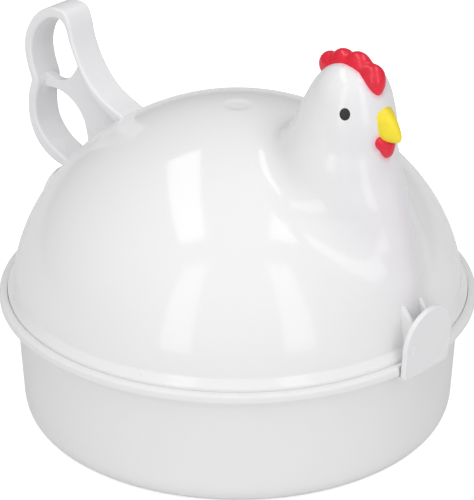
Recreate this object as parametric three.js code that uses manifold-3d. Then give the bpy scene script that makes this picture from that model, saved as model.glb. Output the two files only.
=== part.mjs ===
// Hen-shaped microwave egg cooker, in millimetres, +Z up.
// The origin is the middle of the base's underside and the hen faces +X.
// A plastic base holds the water, an aluminium tray holds the eggs over it, and a domed plastic lid
// with an aluminium lining covers them. Two thumb latches on the lid hook under the base's rim bead.

import * as THREE from 'three';
import Module from 'manifold-3d';
import { mergeVertices } from 'three/addons/utils/BufferGeometryUtils.js';

const wasm = await Module();
wasm.setup();

// Driving dimensions
const RIM_RADIUS = 76;
const RIM_Z = 41;
const WALL = 2;
const GAP = 0.3;
const ROUND_SEGMENTS = 44;

// Base
const BASE_FOOT_RADIUS = 57.2;
const BASE_CORNER = 12;
const BASE_NECK_RADIUS = 70.6;
const LEDGE_Z = RIM_Z - 0.8;
const BEAD_BOTTOM = RIM_Z - 1.6;
const BEAD_TOP = RIM_Z + 1.8;
const BEAD_INNER_RADIUS = 73.6;
const NOTCH_X = 74.5;
const NOTCH_HALF_WIDTH = 11.5;
const TRAY_REST_Z = 22;
const REST_RIBS = 6;

// Lid: a slightly squared half globe on a short skirt
const DOME_RADIUS = 71.6;
const DOME_SPRING_Z = RIM_Z + 1.4;
const DOME_HEIGHT = 61.7;
const DOME_POWER_R = 2 / 1.84;
const DOME_POWER_Z = 2 / 1.9;
const DOME_STEPS = 9;
const CREASE_ANGLE = 4;
const SKIRT_RADIUS = 73.2;
const SKIRT_BOTTOM = LEDGE_Z + GAP;
const DIMPLE_RADIUS = 4;
const DIMPLE_DEPTH = 0.7;

// Lid lining and its screw
const LINING_CLEARANCE = 3.2;
const SHEET = 0.8;
const SCREW_RADIUS = 1.1;
const SCREW_HEAD_RADIUS = 3;
const WASHER_RADIUS = 5;
const WASHER_SEAT = WASHER_RADIUS + 1;

// Egg tray
const TRAY_RADIUS = 66.2;
const TRAY_SHEET = 1;
const SEAT_CENTRE_RADIUS = 33;
const SEAT_BALL = 24;
const SEAT_MOUTH = 19;
const SEATS = 4;
const LIFT_HOLE_RADIUS = 9.5;
const STEAM_HOLE_RADIUS = 3;

// Tail handle
const HANDLE_WIDTH = 11;
const HANDLE_WEB = 3;

// Latches, for the one at the front
const PIVOT_X = 73;
const PIVOT_Z = RIM_Z + 10;
const KNUCKLE_RADIUS = 2;
const PIN_RADIUS = 1;
const LUG_INNER_Y = 3.2;
const LUG_OUTER_Y = 4.8;
const LUG_FRONT_X = 75;
const LUG_SKIN = 0.5;
const EAR_HALF_WIDTH = 11;
const EAR_THICKNESS = 1.8;
const EAR_LEAN = THREE.MathUtils.degToRad(5);
const EAR_INNER_X = NOTCH_X + GAP + 0.2;
const EAR_ROUND_Z = RIM_Z + 7.8;
const EAR_ROUND_RADIUS = 11.2;
const HOOK_TOP = BEAD_BOTTOM - 0.3;
const HOOK_DEPTH = 1.2;

// Colours
const WHITE = 0xf2f1f3;
const ALUMINIUM = 0xc4c7ca;
const STEEL = 0xb4b7bb;
const RED = 0xdc1f30;
const YELLOW = 0xf6dd2d;
const BLACK = 0x1c1b1d;

// ---------------------------------------------------------------- solids

// A closed solid from any closed three.js geometry.
function solid(geometry) {
  const bare = geometry.index ? geometry.toNonIndexed() : geometry.clone();
  bare.deleteAttribute('normal');
  bare.deleteAttribute('uv');
  const merged = mergeVertices(bare, 1e-4);
  const index = merged.index.array;
  const triangles = [];
  for (let i = 0; i < index.length; i += 3) {
    const [a, b, c] = [index[i], index[i + 1], index[i + 2]];
    if (a !== b && b !== c && c !== a) {
      triangles.push(a, b, c);
    }
  }
  const vertProperties = new Float32Array(merged.attributes.position.array);
  const triVerts = new Uint32Array(triangles);
  return new wasm.Manifold(new wasm.Mesh({ numProp: 3, vertProperties, triVerts }));
}

// A named mesh from a solid.
function piece(name, body, color, roughness, metalness = 0) {
  const mesh = body.getMesh();
  const geometry = new THREE.BufferGeometry();
  geometry.setAttribute('position', new THREE.BufferAttribute(new Float32Array(mesh.vertProperties), 3));
  geometry.setIndex(new THREE.BufferAttribute(new Uint32Array(mesh.triVerts), 1));
  geometry.computeVertexNormals();
  const material = new THREE.MeshStandardMaterial({ color, roughness, metalness });
  const result = new THREE.Mesh(geometry, material);
  result.name = name;
  return result;
}

// A solid of revolution about Z. The profile runs down the outside and back up the inside.
function turned(profile, segments = ROUND_SEGMENTS) {
  const points = profile.map(([radius, height]) => new THREE.Vector2(radius, height));
  return solid(new THREE.LatheGeometry(points.reverse(), segments).rotateX(Math.PI / 2));
}

// A plain cylinder along Z between two heights.
function rod(radius, low, high, segments = 24) {
  return turned([[0, high], [radius, high], [radius, low], [0, low]], segments);
}

// A box between two corners.
function block(low, high) {
  const size = high.map((value, i) => value - low[i]);
  const middle = high.map((value, i) => (value + low[i]) / 2);
  return solid(new THREE.BoxGeometry(...size).translate(...middle));
}

// A cylinder along Y, centred on the hen's midplane.
function crossRod(radius, halfLength, x, z, segments = 20) {
  const geometry = new THREE.CylinderGeometry(radius, radius, 2 * halfLength, segments);
  return solid(geometry.translate(x, 0, z));
}

// An outline in the hen's midplane, pulled to a width across it.
function slab(shape, width, curveSegments = 2) {
  const geometry = new THREE.ExtrudeGeometry(shape, { depth: width, bevelEnabled: false, curveSegments });
  return solid(geometry.rotateX(Math.PI / 2).translate(0, width / 2, 0));
}

// The same, with its edges rounded off inside the outline.
function pillow(points, width, round, z0) {
  const shape = smoothShape(points, z0);
  const geometry = new THREE.ExtrudeGeometry(shape, {
    depth: width - 2 * round,
    bevelThickness: round,
    bevelSize: round,
    bevelOffset: -round,
    bevelSegments: 2,
    curveSegments: 2,
  });
  return solid(geometry.rotateX(Math.PI / 2).translate(0, width / 2 - round, 0));
}

// A closed smooth outline through [x, height above the rim] points.
function smoothPoints(points, z0) {
  const path = points.map(([x, z]) => new THREE.Vector3(x, z + z0, 0));
  const curve = new THREE.CatmullRomCurve3(path, true, 'centripetal');
  return curve.getPoints(points.length * 2).slice(0, -1).map((p) => new THREE.Vector2(p.x, p.y));
}

function smoothShape(points, z0) {
  return new THREE.Shape(smoothPoints(points, z0));
}

// ---------------------------------------------------------------- base

function baseBowl() {
  const profile = [[0, WALL]];
  const innerCorner = BASE_CORNER - WALL;
  const steps = 4;
  for (let i = 0; i <= steps; i += 1) {
    const angle = (i / steps) * Math.PI / 2;
    profile.push([
      BASE_FOOT_RADIUS + innerCorner * Math.sin(angle),
      BASE_CORNER - innerCorner * Math.cos(angle),
    ]);
  }
  profile.push([BASE_NECK_RADIUS - WALL, LEDGE_Z - 2]);
  profile.push([BASE_NECK_RADIUS - WALL + 0.3, LEDGE_Z]);
  profile.push([BEAD_INNER_RADIUS, LEDGE_Z]);
  profile.push([BEAD_INNER_RADIUS, BEAD_TOP - 0.5]);
  profile.push([BEAD_INNER_RADIUS + 0.5, BEAD_TOP]);
  profile.push([RIM_RADIUS - 0.6, BEAD_TOP]);
  profile.push([RIM_RADIUS, BEAD_TOP - 0.6]);
  profile.push([RIM_RADIUS, BEAD_BOTTOM + 0.5]);
  profile.push([RIM_RADIUS - 0.6, BEAD_BOTTOM]);
  profile.push([RIM_RADIUS - 2.2, BEAD_BOTTOM]);
  profile.push([BASE_NECK_RADIUS + 0.6, BEAD_BOTTOM - 1.6]);
  profile.push([BASE_NECK_RADIUS, BEAD_BOTTOM - 4]);
  for (let i = steps; i >= 0; i -= 1) {
    const angle = (i / steps) * Math.PI / 2;
    profile.push([
      BASE_FOOT_RADIUS + BASE_CORNER * Math.sin(angle),
      BASE_CORNER * (1 - Math.cos(angle)),
    ]);
  }
  profile.push([0, 0]);
  let body = turned(profile);
  const ribDepth = 4;
  const ribHalfWidth = 1.2;
  const ribOuter = BASE_NECK_RADIUS - 2.4;
  const ribLow = WALL + 6;
  for (let i = 0; i < REST_RIBS; i += 1) {
    const rib = block([ribOuter - ribDepth, -ribHalfWidth, ribLow], [ribOuter, ribHalfWidth, TRAY_REST_Z]);
    body = body.add(rib.rotate([0, 0, (i + 0.5) * 360 / REST_RIBS]));
  }
  // A flat notch in the bead for each latch.
  const notch = block(
    [NOTCH_X, -NOTCH_HALF_WIDTH, BEAD_BOTTOM - 1],
    [RIM_RADIUS + 1, NOTCH_HALF_WIDTH, BEAD_TOP + 1],
  );
  return body.subtract(notch).subtract(notch.rotate([0, 0, 180]));
}

// ---------------------------------------------------------------- egg tray

function eggTray() {
  const low = TRAY_REST_Z + GAP;
  const top = low + TRAY_SHEET;
  const lip = 2.4;
  let body = turned([
    [0, top],
    [TRAY_RADIUS - TRAY_SHEET - 0.6, top],
    [TRAY_RADIUS - TRAY_SHEET, top + 0.6],
    [TRAY_RADIUS - TRAY_SHEET, top + lip],
    [TRAY_RADIUS, top + lip],
    [TRAY_RADIUS, low + 1],
    [TRAY_RADIUS - 1, low],
    [0, low],
  ]);
  const ballCentreZ = top + Math.sqrt(SEAT_BALL ** 2 - SEAT_MOUTH ** 2);
  const belowPlate = rod(TRAY_RADIUS - 4, 0, low + TRAY_SHEET / 2, 16);
  const ball = (radius) => solid(new THREE.SphereGeometry(radius, 20, 16).rotateX(Math.PI / 2));
  for (let i = 0; i < SEATS; i += 1) {
    const angle = (i + 0.5) * 2 * Math.PI / SEATS;
    const x = SEAT_CENTRE_RADIUS * Math.cos(angle);
    const y = SEAT_CENTRE_RADIUS * Math.sin(angle);
    const cup = ball(SEAT_BALL + TRAY_SHEET).translate([x, y, ballCentreZ]).intersect(belowPlate);
    body = body.add(cup);
  }
  for (let i = 0; i < SEATS; i += 1) {
    const angle = (i + 0.5) * 2 * Math.PI / SEATS;
    const x = SEAT_CENTRE_RADIUS * Math.cos(angle);
    const y = SEAT_CENTRE_RADIUS * Math.sin(angle);
    body = body.subtract(ball(SEAT_BALL).translate([x, y, ballCentreZ]));
    body = body.subtract(rod(STEAM_HOLE_RADIUS, 0, TRAY_REST_Z, 12).translate([x, y, 0]));
    const between = i * 2 * Math.PI / SEATS;
    const vent = rod(STEAM_HOLE_RADIUS, 0, RIM_Z, 12);
    const ventRadius = SEAT_CENTRE_RADIUS + 14;
    body = body.subtract(vent.translate([ventRadius * Math.cos(between), ventRadius * Math.sin(between), 0]));
  }
  return body.subtract(rod(LIFT_HOLE_RADIUS, 0, RIM_Z, 20));
}

// ---------------------------------------------------------------- lid

// One side of the dome, from its crown down to its crease, shrunk by an inset.
function domeCurve(inset, lowAngle = CREASE_ANGLE, topRadius = 0) {
  const points = [];
  for (let i = 0; i <= DOME_STEPS; i += 1) {
    const angle = THREE.MathUtils.degToRad(90 - (i / DOME_STEPS) * (90 - lowAngle));
    const radius = (DOME_RADIUS - inset) * Math.max(0, Math.cos(angle)) ** DOME_POWER_R;
    const height = DOME_SPRING_Z + (DOME_HEIGHT - inset) * Math.sin(angle) ** DOME_POWER_Z;
    if (i > 0 && radius > topRadius) {
      points.push([radius, height]);
    }
  }
  return points;
}

const DOME_TOP = DOME_SPRING_Z + DOME_HEIGHT;

// Everything inside the dome's outer face, grown by a gap: what stands on the dome is cut with it.
function domeCore(grow) {
  return turned([[0, DOME_TOP + grow], ...domeCurve(-grow), [SKIRT_RADIUS + grow, RIM_Z], [0, RIM_Z]]);
}

// Two fins down the dome's side, with blind holes for the latch's pin in their facing sides.
function latchLugs() {
  const outline = new THREE.Shape([
    new THREE.Vector2(DOME_RADIUS - 5, PIVOT_Z + 5.6),
    new THREE.Vector2(DOME_RADIUS - 5, PIVOT_Z - 7.4),
    new THREE.Vector2(LUG_FRONT_X - 0.8, PIVOT_Z - 7.4),
    new THREE.Vector2(LUG_FRONT_X, PIVOT_Z - 6),
    new THREE.Vector2(LUG_FRONT_X, PIVOT_Z + 1.8),
    new THREE.Vector2(DOME_RADIUS - 2.2, PIVOT_Z + 5.6),
  ]);
  const fin = slab(outline, LUG_OUTER_Y - LUG_INNER_Y);
  const middle = (LUG_INNER_Y + LUG_OUTER_Y) / 2;
  return fin.translate([0, middle, 0]).add(fin.translate([0, -middle, 0]));
}

function lidDome() {
  const creaseZ = domeCurve(0)[DOME_STEPS - 1][1];
  let body = turned([
    [0, DOME_TOP - DIMPLE_DEPTH],
    [DIMPLE_RADIUS * 0.7, DOME_TOP - DIMPLE_DEPTH],
    [DIMPLE_RADIUS, DOME_TOP - 0.1],
    ...domeCurve(0, CREASE_ANGLE, DIMPLE_RADIUS),
    [SKIRT_RADIUS - 0.2, creaseZ - 2],
    [SKIRT_RADIUS, creaseZ - 3],
    [SKIRT_RADIUS, SKIRT_BOTTOM],
    [SKIRT_RADIUS - WALL, SKIRT_BOTTOM],
    [SKIRT_RADIUS - WALL, creaseZ - 3],
    ...domeCurve(WALL).reverse(),
    [0, DOME_TOP - WALL],
  ]);
  const boss = rod(3.6, DOME_TOP - LINING_CLEARANCE + GAP, DOME_TOP - 1.4);
  body = body.add(boss);
  body = body.subtract(rod(SCREW_RADIUS + GAP, DOME_TOP - 6, DOME_TOP - 1.3, 16));
  for (const turn of [0, 180]) {
    const lugs = latchLugs().subtract(crossRod(PIN_RADIUS + GAP, LUG_OUTER_Y - LUG_SKIN, PIVOT_X, PIVOT_Z));
    body = body.add(lugs.rotate([0, 0, turn]).subtract(domeCore(-WALL / 2)));
  }
  return body;
}

function lidLining() {
  const outer = domeCurve(LINING_CLEARANCE, 3);
  const inner = domeCurve(LINING_CLEARANCE + SHEET, 3);
  const top = DOME_TOP - LINING_CLEARANCE;
  const hemLow = outer[outer.length - 1][1] - 2.6;
  const hemOuter = SKIRT_RADIUS - WALL - 0.8;
  const hole = SCREW_RADIUS + GAP;
  return turned([
    [hole, top],
    [WASHER_SEAT, top],
    ...outer,
    [DOME_RADIUS - LINING_CLEARANCE + 0.2, hemLow + SHEET],
    [hemOuter, hemLow + SHEET],
    [hemOuter, hemLow],
    [DOME_RADIUS - LINING_CLEARANCE - SHEET, hemLow],
    ...inner.reverse(),
    [WASHER_SEAT, top - SHEET],
    [hole, top - SHEET],
    [hole, top],
  ]);
}

const WASHER_TOP = DOME_TOP - LINING_CLEARANCE - SHEET - GAP;
const WASHER_THICKNESS = 0.8;

function liningWasher() {
  const hole = SCREW_RADIUS + GAP;
  const low = WASHER_TOP - WASHER_THICKNESS;
  return turned([
    [hole, WASHER_TOP],
    [WASHER_RADIUS, WASHER_TOP],
    [WASHER_RADIUS, low],
    [hole, low],
    [hole, WASHER_TOP],
  ], 24);
}

function liningScrew() {
  const headTop = WASHER_TOP - WASHER_THICKNESS - GAP;
  const headHeight = 1.8;
  const tip = DOME_TOP - 1.6;
  const head = turned([
    [0, tip],
    [SCREW_RADIUS, tip],
    [SCREW_RADIUS, headTop],
    [SCREW_HEAD_RADIUS, headTop],
    [SCREW_HEAD_RADIUS, headTop - headHeight * 0.5],
    [SCREW_HEAD_RADIUS * 0.6, headTop - headHeight],
    [0, headTop - headHeight],
  ], 24);
  const slotDepth = 0.9;
  const arm = 1.9;
  const half = 0.35;
  const slotLow = headTop - headHeight - 1;
  const slotHigh = headTop - headHeight + slotDepth;
  const slot = block([-arm, -half, slotLow], [arm, half, slotHigh]);
  return head.subtract(slot).subtract(slot.rotate([0, 0, 90]));
}

// ---------------------------------------------------------------- hen's head

// Level sections from the breast up: height above the rim, middle, half length and half width.
const HEAD_SECTIONS = [
  [11, 57, 13.6, 6.5],
  [15, 54, 16.4, 8],
  [20, 50.5, 19.2, 9.5],
  [30, 47, 21.7, 11.5],
  [40, 45.5, 21.5, 13],
  [50, 44.5, 19, 14],
  [60, 44, 16.3, 14.3],
  [67, 43.9, 14.7, 13.2],
  [76, 44.1, 14.2, 12.5],
  [80, 44.6, 12.8, 11],
  [84, 44.6, 10.6, 8.8],
  [87.5, 44.8, 7, 5.6],
  [89.6, 45, 3, 2.4],
];

// A unit column whose sections are stretched and shifted to the head's.
function headForm(grow) {
  const first = HEAD_SECTIONS[0][0];
  const last = HEAD_SECTIONS[HEAD_SECTIONS.length - 1][0] + 0.4;
  const heights = HEAD_SECTIONS.map((section) => section[0]);
  const points = [new THREE.Vector2(0, first), ...heights.map((z) => new THREE.Vector2(1, z))];
  points.push(new THREE.Vector2(0, last));
  const geometry = new THREE.LatheGeometry(points, 24).rotateX(Math.PI / 2);
  const position = geometry.attributes.position;
  for (let i = 0; i < position.count; i += 1) {
    const z = position.getZ(i);
    const nearest = HEAD_SECTIONS.reduce((a, b) => (Math.abs(b[0] - z) < Math.abs(a[0] - z) ? b : a));
    const [, middle, halfLength, halfWidth] = nearest;
    const onAxis = Math.hypot(position.getX(i), position.getY(i)) < 0.5;
    const rise = onAxis && z > first ? grow : 0;
    position.setXYZ(
      i,
      middle + position.getX(i) * Math.max(0.5, halfLength + grow),
      position.getY(i) * Math.max(0.4, halfWidth + grow),
      z + RIM_Z + rise,
    );
  }
  return solid(geometry);
}

function henHead() {
  return headForm(0).subtract(headForm(-WALL)).subtract(domeCore(GAP));
}

// Lobes from the back of the crown to the forehead: x, height above the rim, length, rise.
const COMB_LOBES = [
  [37.2, 87.0, 3.9, 3.8],
  [42.5, 89.3, 4.2, 4.0],
  [48.4, 89.1, 4.5, 4.4],
  [54.0, 86.2, 3.9, 4.7],
  [55.6, 84.0, 2.3, 3.0],
];
const COMB_HALF_WIDTH = 2.9;

function comb() {
  let body = null;
  for (const [x, z, length, rise] of COMB_LOBES) {
    const lobe = solid(
      new THREE.SphereGeometry(1, 14, 8).scale(length, COMB_HALF_WIDTH, rise).translate(x, 0, z + RIM_Z),
    );
    body = body ? body.add(lobe) : lobe;
  }
  return body.subtract(headForm(GAP));
}

const BEAK_OUTLINE = [
  [54, 78.4], [58.8, 79.2], [61.4, 77.4], [63.3, 74.4], [64.7, 70.8], [64.2, 68.5], [61.8, 67.5], [55, 67.8],
];
const BEAK_WIDTH = 8.6;

function beak() {
  return pillow(BEAK_OUTLINE, BEAK_WIDTH, 2.2, RIM_Z).subtract(headForm(GAP));
}

const WATTLE_OUTLINE = [[55, 66.4], [61.0, 66.4], [61.9, 64.9], [60.7, 62.6], [58.6, 61.8], [55, 63.6]];
const WATTLE_WIDTH = 7;

function wattle() {
  return pillow(WATTLE_OUTLINE, WATTLE_WIDTH, 1.4, RIM_Z).subtract(headForm(GAP));
}

// A shallow domed disc set on the side of the head.
const EYE_RADIUS = 1.65;
const EYE_PLACE = new THREE.Vector3(50.9, 10.4, RIM_Z + 77.9);
const EYE_NORMAL = new THREE.Vector3(0.44, 0.875, 0.2);

function eye(side) {
  const normal = EYE_NORMAL.clone().normalize();
  const disc = new THREE.Mesh(new THREE.SphereGeometry(EYE_RADIUS, 14, 8).scale(1, 1, 0.7));
  disc.position.copy(EYE_PLACE).addScaledVector(normal, 0.3);
  disc.lookAt(disc.position.clone().add(normal));
  disc.updateMatrix();
  let body = solid(disc.geometry.applyMatrix4(disc.matrix));
  if (side < 0) {
    body = body.mirror([0, 1, 0]);
  }
  return body.subtract(headForm(GAP));
}

// ---------------------------------------------------------------- tail handle

const HANDLE_OUTER = [
  [-40, 42], [-44.8, 47.4], [-49.5, 49.3], [-54, 51.4], [-58.7, 55], [-63.1, 60.8], [-66, 67.2], [-67.5, 73.2],
  [-69.6, 76.7], [-74.5, 77.4], [-79, 75.9], [-83, 73], [-86, 69.2], [-88.2, 64.4], [-88.7, 59.4],
  [-87.6, 53.6], [-86.1, 49.4], [-87.4, 44.8], [-88, 39], [-86.8, 32.6], [-83.5, 27.2], [-78, 23.4],
  [-71.8, 21.8], [-64, 19.5], [-52, 24],
];

// The room between the front and back bands, where only the web runs.
const HANDLE_ROOM = [
  [-71.6, 73.6], [-76.4, 73.2], [-80.6, 70.4], [-83.9, 66], [-85.4, 60.6], [-84.7, 55], [-82.9, 50],
  [-82.9, 48], [-84.3, 42], [-83.4, 34.4], [-79, 29], [-73.6, 26.2], [-66, 24], [-54, 28], [-46, 42.5],
  [-51.2, 46.6], [-56.2, 49.4], [-61, 54], [-65.1, 60.6], [-68.2, 67.2], [-69.6, 71.6],
];

const UPPER_HOLE = [
  [-71.6, 73.6], [-76.4, 73.2], [-80.6, 70.4], [-83.9, 66], [-85.4, 60.6], [-84.7, 55], [-82.6, 51.4],
  [-77, 50.4], [-72.4, 52.2], [-68.8, 56.6], [-66.9, 62], [-68.2, 67.2], [-69.6, 71.6],
];

const LOWER_HOLE = [
  [-82.4, 46.6], [-84.3, 42], [-83.4, 34.4], [-79, 29], [-73.6, 26.2], [-66, 24], [-62.5, 26],
  [-64.2, 31], [-65, 36], [-66.6, 40.4], [-70, 44], [-75, 46.4], [-79.4, 47],
];

function tailHandle() {
  const outer = slab(smoothShape(HANDLE_OUTER, RIM_Z), HANDLE_WIDTH);
  const roomSolid = slab(smoothShape(HANDLE_ROOM, RIM_Z), HANDLE_WIDTH + 2);
  const webSolid = slab(smoothShape(HANDLE_OUTER, RIM_Z), HANDLE_WEB);
  const body = outer.subtract(roomSolid).add(webSolid.subtract(
    slab(smoothShape(UPPER_HOLE, RIM_Z), HANDLE_WIDTH),
  ).subtract(
    slab(smoothShape(LOWER_HOLE, RIM_Z), HANDLE_WIDTH),
  ));
  return body.subtract(domeCore(GAP));
}

// ---------------------------------------------------------------- latches

// A round thumb ear on a straight shank, with a hook at its foot and a knuckle behind it.
function latch() {
  const ear = new THREE.Shape();
  const shoulder = Math.asin(EAR_HALF_WIDTH / EAR_ROUND_RADIUS);
  ear.moveTo(-EAR_HALF_WIDTH, HOOK_TOP - HOOK_DEPTH);
  ear.lineTo(EAR_HALF_WIDTH, HOOK_TOP - HOOK_DEPTH);
  ear.absarc(0, EAR_ROUND_Z, EAR_ROUND_RADIUS, shoulder - Math.PI / 2, 1.5 * Math.PI - shoulder, false);
  const plateGeometry = new THREE.ExtrudeGeometry(ear, {
    depth: EAR_THICKNESS,
    bevelEnabled: false,
    curveSegments: 20,
  });
  // Stand the outline up across the hen's midplane, then lean it out about the rim.
  plateGeometry.rotateX(Math.PI / 2).rotateZ(Math.PI / 2);
  plateGeometry.translate(0, 0, -RIM_Z).rotateY(EAR_LEAN).translate(EAR_INNER_X, 0, RIM_Z);
  let body = solid(plateGeometry);
  const hookTip = RIM_RADIUS - 2.3;
  body = body.add(block(
    [hookTip, -EAR_HALF_WIDTH + 0.5, HOOK_TOP - HOOK_DEPTH + 0.1],
    [EAR_INNER_X + EAR_THICKNESS / 2, EAR_HALF_WIDTH - 0.5, HOOK_TOP],
  ));
  const knuckleHalf = LUG_INNER_Y - GAP;
  body = body.add(crossRod(KNUCKLE_RADIUS, knuckleHalf, PIVOT_X, PIVOT_Z));
  body = body.add(block(
    [PIVOT_X, -knuckleHalf, PIVOT_Z - 1.3],
    [EAR_INNER_X + EAR_THICKNESS, knuckleHalf, PIVOT_Z + 1.3],
  ));
  return body.subtract(crossRod(PIN_RADIUS + GAP, EAR_HALF_WIDTH, PIVOT_X, PIVOT_Z));
}

function latchPin() {
  return crossRod(PIN_RADIUS, LUG_OUTER_Y - LUG_SKIN - GAP, PIVOT_X, PIVOT_Z);
}

// ---------------------------------------------------------------- assembly

const eggCooker = new THREE.Group();

const lid = new THREE.Group();
lid.add(
  piece('lid_dome', lidDome(), WHITE, 0.25),
  piece('lid_lining', lidLining(), ALUMINIUM, 0.35, 1),
  piece('lining_washer', liningWasher(), STEEL, 0.4, 1),
  piece('lining_screw', liningScrew(), STEEL, 0.4, 1),
  piece('hen_head', henHead(), WHITE, 0.35),
  piece('comb', comb(), RED, 0.2),
  piece('beak', beak(), YELLOW, 0.5),
  piece('wattle', wattle(), RED, 0.3),
  piece('left_eye', eye(1), BLACK, 0.6),
  piece('right_eye', eye(-1), BLACK, 0.6),
  piece('tail_handle', tailHandle(), WHITE, 0.35),
);

// The same latch and pin at the front and, turned half round, at the rear.
const ends = [['front', 0], ['rear', Math.PI]];
for (const [end, turn] of ends) {
  const group = new THREE.Group();
  group.rotation.z = turn;
  group.add(piece(`${end}_latch`, latch(), WHITE, 0.35));
  group.add(piece(`${end}_latch_pin`, latchPin(), STEEL, 0.4, 1));
  lid.add(group);
}

eggCooker.add(
  piece('base_bowl', baseBowl(), WHITE, 0.5),
  piece('egg_tray', eggTray(), ALUMINIUM, 0.35, 1),
  lid,
);

export default eggCooker;
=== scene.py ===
import math

import bmesh
import bpy
import numpy as np
from bpy.props import FloatProperty, FloatVectorProperty, IntProperty, PointerProperty
from mathutils import Matrix, Vector


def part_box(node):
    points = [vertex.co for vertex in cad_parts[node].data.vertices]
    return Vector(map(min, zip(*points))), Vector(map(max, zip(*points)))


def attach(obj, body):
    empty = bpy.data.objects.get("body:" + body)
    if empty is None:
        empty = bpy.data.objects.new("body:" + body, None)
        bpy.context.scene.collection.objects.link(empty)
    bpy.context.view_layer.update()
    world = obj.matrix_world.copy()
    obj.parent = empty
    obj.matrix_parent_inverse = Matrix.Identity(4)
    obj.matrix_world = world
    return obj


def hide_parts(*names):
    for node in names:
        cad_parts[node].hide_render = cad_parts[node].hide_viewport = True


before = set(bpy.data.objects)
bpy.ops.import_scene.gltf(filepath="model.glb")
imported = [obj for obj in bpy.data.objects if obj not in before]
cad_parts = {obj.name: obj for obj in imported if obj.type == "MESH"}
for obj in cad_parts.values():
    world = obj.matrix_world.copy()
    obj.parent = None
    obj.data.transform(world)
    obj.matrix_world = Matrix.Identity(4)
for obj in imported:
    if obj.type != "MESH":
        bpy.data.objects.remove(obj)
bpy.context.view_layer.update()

bl_info = {
    "name": "Hen egg cooker",
    "version": (1, 0, 0),
    "blender": (4, 5, 0),
    "location": "3D View > Sidebar > Egg Cooker",
    "description": "Builds a hen-shaped microwave egg cooker and a plain studio round it",
    "category": "Object",
}

MM = 0.001
BASE_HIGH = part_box("base_bowl")[1] / MM
TRAY_LOW, TRAY_HIGH = (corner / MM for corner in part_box("egg_tray"))
HANDLE_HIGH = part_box("tail_handle")[1] / MM
PIN_LOW, PIN_HIGH = (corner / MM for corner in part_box("front_latch_pin"))
EAR_LOW, EAR_HIGH = (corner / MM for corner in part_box("front_latch"))

BEAD_RISE = 1.8
RIM_Z = BASE_HIGH.z - BEAD_RISE
PIVOT_X = (PIN_LOW.x + PIN_HIGH.x) / 2
PIVOT_Z = (PIN_LOW.z + PIN_HIGH.z) / 2
NOTCH_X = 74.5


# ---------- settings

def length(name, description, millimetres):
    return FloatProperty(name=name, description=description, default=millimetres * MM,
                         subtype="DISTANCE", unit="LENGTH", precision=4)


def strength(name, description, value):
    return FloatProperty(name=name, description=description, default=value, min=0)


def colour(name, description, rgb):
    return FloatVectorProperty(name=name, description=description, default=rgb, size=3,
                               min=0, max=1, subtype="COLOR")


class CookerSizes(bpy.types.PropertyGroup):
    """The sizes that a user would change."""

    rim_radius: length("Rim radius", "Outside radius of the base's rim bead", BASE_HIGH.y)
    foot_radius: length("Foot radius", "Outside radius of the base just above its foot", 68.7)
    neck_radius: length("Neck radius", "Outside radius of the base just under its bead", 70.6)
    wall: length("Wall", "Thickness of the plastic walls", 2)
    dome_radius: length("Dome radius", "Radius of the lid's dome where it springs", 71.6)
    dome_height: length("Dome height", "Height of the lid's dome over its spring line", 61.7)
    skirt_radius: length("Skirt radius", "Radius of the lid's skirt inside the bead", 73.3)
    sheet: length("Sheet", "Thickness of the aluminium sheet", 0.8)
    handle_width: length("Handle width", "Width of the tail handle's bands", 2 * HANDLE_HIGH.y)
    handle_web: length("Handle web", "Thickness of the web inside the tail handle", 3)
    ear_thickness: length("Ear thickness", "Thickness of a latch's thumb ear", 1.8)
    head_fillet: length("Head fillet", "Reach of the blend from the neck into the dome", 7.5)


class CookerFinishes(bpy.types.PropertyGroup):
    """The colours that a user would change."""

    base_white: colour("Base white", "Satin white of the base", (0.84, 0.84, 0.84))
    dome_white: colour("Dome white", "Gloss white of the dome", (0.86, 0.86, 0.865))
    trim_white: colour("Trim white", "White of the head, handle and latches", (0.85, 0.845, 0.86))
    # Painted shade: a darker, cooler tone laid on the breast and face in place of the light falling off
    # there.
    painted_shade_colour: colour("Trim shade", "Cool tint on the breast and face", (0.80, 0.775, 0.81))
    paint_haze: colour("Paint haze", "Thin overspray round the red paint", (0.86, 0.42, 0.50))
    red: colour("Red", "Comb and wattle paint", (0.86, 0.010, 0.040))
    yellow: colour("Yellow", "Beak paint", (0.97, 0.78, 0.02))
    black: colour("Black", "Eye paint", (0.016, 0.014, 0.014))
    aluminium: colour("Aluminium", "Tray and lining", (0.78, 0.785, 0.79))
    steel: colour("Steel", "Screw, washer and pins", (0.60, 0.61, 0.62))


class StudioSettings(bpy.types.PropertyGroup):
    """The camera and the lights."""

    azimuth: FloatProperty(name="Azimuth", description="Camera's turn round the cooker",
                           default=math.radians(41.5), subtype="ANGLE", unit="ROTATION")
    elevation: FloatProperty(name="Elevation", description="Camera's height angle",
                             default=math.radians(26.83), subtype="ANGLE", unit="ROTATION")
    distance: length("Distance", "Camera's distance from the middle of the rim", 900)
    lens: FloatProperty(name="Lens", description="Focal length", default=202.6, unit="CAMERA")
    front_power: strength("Front power", "Power of a front panel, in watts", 3.7)
    top_power: strength("Top power", "Power of a top panel, in watts", 2.8)
    sky_front: strength("Sky in front", "Brightness of the sky on the camera's side", 0.90)
    sky_back: strength("Sky behind", "Brightness of the sky behind the cooker", 0.26)
    segments: IntProperty(name="Segments", description="Facets round a turned piece",
                          default=192, min=32, max=256)


# ---------- shaping tools

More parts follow.
